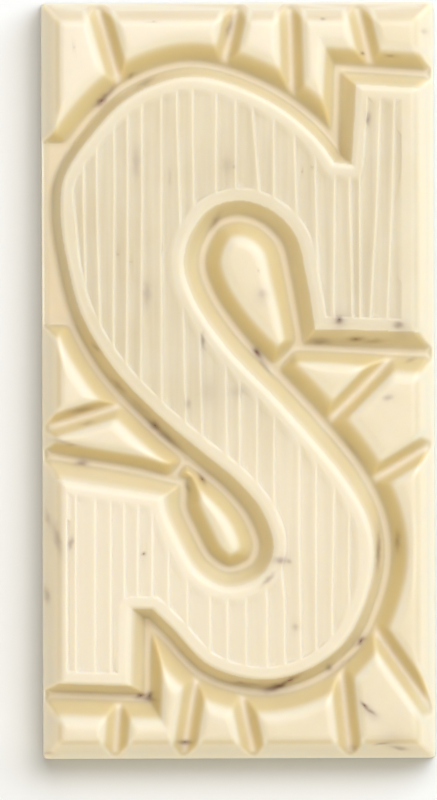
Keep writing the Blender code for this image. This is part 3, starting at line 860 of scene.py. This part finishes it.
streaky = add(tree, "MapRange", _0=streaks.outputs[0], **STREAK_RANGE, _3=0.0, _4=on_ribs)
shade = add(
    tree, "Mix", {"data_type": "RGBA", "blend_type": "MULTIPLY"},
    _0=streaky.outputs[0], _6=shade, _7=linear("#F7F5F2"),
).outputs[2]
# Each tone over the cream, mostly painted light and shade: the attribute that says where it
# lies, how it mixes, its colour
OVERLAYS = (
    ("letter", "MULTIPLY", "#F8F9FB"),  # the letter, a hair darker
    ("paler", "MIX", "#E3D8C3"),  # blocks by the head and the left side, and the letter's foot
    # painted light: the bevels paler
    ("bevel", "MIX", "#E8DBBF"),
    # painted shade: the head's bevel darker
    ("head_bevel_shade", "MIX", "#DBC9AA"),
    ("bank", "MIX", "#D1BC88"),  # painted shade: slopes into the channel and the grooves, a deeper yellow
    ("channel_floor_shade", "MIX", "#CABC9B"),  # painted shade at the foot of those slopes
    ("channel_line_highlight", "MIX", "#D9C9AB"),  # painted highlight on the level strip between them
    ("groove_line_highlight", "MIX", "#DFD0B4"),  # painted highlight on the floor of each groove
    ("rim", "MIX", "#E3D9C2"),  # painted highlights on rims and on the crests of the ribs
    ("outer_edge_highlight", "MIX", "#E9E1CD"),  # painted highlight on the line where the bevel meets the side
    ("juice", "MULTIPLY", "#D0C7CC"),  # chocolate stained round the fruit
    ("fruit", "MULTIPLY", "#B9A69A"),  # fruit just under the surface
)
for name, blend, colour in OVERLAYS:
    place = add(tree, "Attribute", {"attribute_name": name}).outputs["Fac"]
    settings = {"data_type": "RGBA", "blend_type": blend}
    shade = add(tree, "Mix", settings, _0=place, _6=shade, _7=linear(colour)).outputs[2]
tree.links.new(shade, surface.inputs["Base Color"])
GRAIN_SCALE = 900.0  # unevenness about a millimetre across
GRAIN_DEPTH = 0.00001  # in metres
grain = add(tree, "TexNoise", _Vector=where, _Scale=GRAIN_SCALE, _Detail=2.0)
bump = add(tree, "Bump", _Strength=1.0, _Distance=GRAIN_DEPTH, _Height=grain.outputs[0])
tree.links.new(bump.outputs[0], surface.inputs["Normal"])
surface.inputs["Roughness"].default_value = 0.42
surface.inputs["IOR"].default_value = 1.46
surface.inputs["Subsurface Weight"].default_value = 0.8
surface.inputs["Subsurface Radius"].default_value = (1.0, 0.8, 0.45)
surface.inputs["Subsurface Scale"].default_value = 0.0015  # in metres
bar_mesh.materials.append(chocolate)

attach(bar, "root")
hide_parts("chocolate_bar")

# ------------------------------------------------------------------------ raspberry crumbs
# Crumbs of freeze-dried raspberry, dark red and under a millimetre across, which lie where
# the stains are strongest and just break the surface. Each is a small ball pushed out of
# round, flattened along the surface that it lies in and sunk for most of its height.
CRUMB_FRUIT = 0.6  # a stain whose fruit shows this strongly has crumbs in it
CRUMB_SHARE = 0.45  # of the stain's half length and half width
CRUMB_LEAST = 0.16  # half the width of a crumb that would come out smaller
CRUMB_SPREAD = (0.8, 1.2)  # least and most of that, as shares of it
CRUMB_HEIGHT = 0.3  # half of it
CRUMB_SINK = 0.2
CRUMB_TURN = 25  # degrees by which it may lie across its stain, either way
CRUMB_OFF = 0.8  # how far along its stain the second of a pair may lie, either way
CRUMB_LUMPS = (0.7, 1.15)  # least and most reach of a crumb's points
CRUMBS_EACH = 2


def ball():
    """The points and triangles of a round ball of radius 1."""
    shape = bmesh.new()
    bmesh.ops.create_icosphere(shape, subdivisions=2, radius=1)
    points = np.array([point.co for point in shape.verts])
    triangles = np.array([[point.index for point in side.verts] for side in shape.faces])
    shape.free()
    return points, triangles


def crumbs():
    """All crumbs as one mesh. Each has one axis square to the surface and one along its stain,
    and its middle lies CRUMB_SINK under the surface. The second of a pair lies off along the
    stain and is half as large."""
    draw = np.random.default_rng(5)
    round_points, triangles = ball()
    points, sides = [], []
    for x, y, half_long, half_wide, turn, fruit_share, _ in STAINS:
        if fruit_share < CRUMB_FRUIT:
            continue
        for place in range(CRUMBS_EACH):
            turned = np.radians(turn + draw.uniform(-CRUMB_TURN, CRUMB_TURN))
            off = place * half_long * draw.uniform(-CRUMB_OFF, CRUMB_OFF)
            middle = np.array([x + off * np.cos(turned), y + off * np.sin(turned)])
            up = np.array([-sampled(rise_x, *middle), -sampled(rise_y, *middle), 1.0])
            up /= np.linalg.norm(up)
            side = np.cross(up, (np.cos(turned), np.sin(turned), 0.0))
            side /= np.linalg.norm(side)
            axes = np.array([np.cross(side, up), side, up])
            least = CRUMB_LEAST * draw.uniform(*CRUMB_SPREAD)
            reach = np.maximum(np.array([half_long, half_wide]) * CRUMB_SHARE, least)
            lumps = draw.uniform(*CRUMB_LUMPS, (len(round_points), 1))
            shaped = round_points * lumps * (*reach / (1 + place), CRUMB_HEIGHT / (1 + place))
            centre = np.array([*middle, sampled(face, *middle)]) - up * CRUMB_SINK
            points.append(centre + shaped @ axes)
            sides.append(triangles + len(round_points) * len(sides))
    mesh = bpy.data.meshes.new("raspberry_crumbs")
    mesh.from_pydata(np.concatenate(points) * MM, [], np.concatenate(sides).tolist())
    mesh.shade_smooth()
    return mesh


# Freeze-dried raspberry, dull and dark red, browned by the cocoa butter that soaked into it
raspberry = bpy.data.materials.new("freeze_dried_raspberry")
raspberry.use_nodes = True
skin = raspberry.node_tree.nodes["Principled BSDF"]
skin.inputs["Base Color"].default_value = linear("#8C5850")
skin.inputs["Roughness"].default_value = 0.7
crumb_mesh = crumbs()
crumb_mesh.materials.append(raspberry)
crumb_piece = bpy.data.objects.new("raspberry_crumbs", crumb_mesh)
bpy.context.collection.objects.link(crumb_piece)
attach(crumb_piece, "root")

# ------------------------------------------------------------- floor, lights and camera
# A plain white table in a soft studio: two panels high up, towards the bar's head and its upper
# right, a cool one low under the second, two weaker yellowish ones low at the foot and at the
# lower left, and a little even light from all round.
FLOOR_SIZE = 3.0  # half its side, in metres
floor_mesh = bpy.data.meshes.new("floor")
span = np.array([(-1, -1, 0), (1, -1, 0), (1, 1, 0), (-1, 1, 0)]) * FLOOR_SIZE
floor_mesh.from_pydata(span, [], [(0, 1, 2, 3)])
floor = bpy.data.objects.new("floor", floor_mesh)
bpy.context.collection.objects.link(floor)
paper = bpy.data.materials.new("white_table")
paper.use_nodes = True
paper.node_tree.nodes["Principled BSDF"].inputs["Base Color"].default_value = linear("#E2E2E2")
paper.node_tree.nodes["Principled BSDF"].inputs["Roughness"].default_value = 0.9
floor_mesh.materials.append(paper)

EVEN_LIGHT = 0.15
world = bpy.data.worlds.new("room")
world.use_nodes = True
world.node_tree.nodes["Background"].inputs["Color"].default_value = (1, 1, 1, 1)
world.node_tree.nodes["Background"].inputs["Strength"].default_value = EVEN_LIGHT
bpy.context.scene.world = world

# Each light: its name, the way to it from the bar, its power in watts and its colour
LIGHTS = (
    ("top_panel", (0.05, 0.5, 0.87), 12.4, (1.0, 1.0, 0.98)),
    ("right_panel", (0.38, 0.32, 0.87), 13.0, (1.0, 0.97, 0.97)),
    ("low_cool_panel", (0.7, 0.51, 0.5), 11.4, (0.65, 0.82, 1.0)),
    ("foot_panel", (0.25, -0.83, 0.5), 5.6, (0.97, 0.98, 0.78)),
    ("warm_panel", (-0.61, -0.61, 0.5), 9.2, (1.0, 0.92, 0.74)),
)
PANEL_SIZE = 1.1  # in metres
PANEL_DISTANCE = 1.6
for name, towards, power, colour in LIGHTS:
    panel = bpy.data.lights.new(name, "AREA")
    panel.shape = "SQUARE"
    panel.size = PANEL_SIZE
    panel.energy = power
    panel.color = colour
    lamp = bpy.data.objects.new(name, panel)
    to_lamp = Vector(towards).normalized()
    lamp.location = to_lamp * PANEL_DISTANCE
    lamp.rotation_euler = to_lamp.to_track_quat("Z", "Y").to_euler()
    lamp.visible_camera = False
    bpy.context.collection.objects.link(lamp)

# The camera looks straight down from far off, so that hardly any of the sides shows
LENS = 700.0
SENSOR = 36.0
VIEW_DEPTH = 10.0  # in metres, past the table
VIEW_HEIGHT = 158.1  # of the bar's top plane, from the top of the view to its foot
VIEW_CENTRE = (-3.93, -3.85)
VIEW_TURN = -0.0033  # in radians
camera_data = bpy.data.cameras.new("camera")
camera_data.lens = LENS
camera_data.sensor_width = SENSOR
camera_data.clip_end = VIEW_DEPTH
camera = bpy.data.objects.new("camera", camera_data)
away = VIEW_HEIGHT * LENS / SENSOR
camera.location = np.array([*VIEW_CENTRE, THICKNESS + away]) * MM
camera.rotation_euler = (0, 0, VIEW_TURN)
bpy.context.collection.objects.link(camera)
bpy.context.scene.camera = camera
bpy.context.scene.view_settings.view_transform = "Standard"
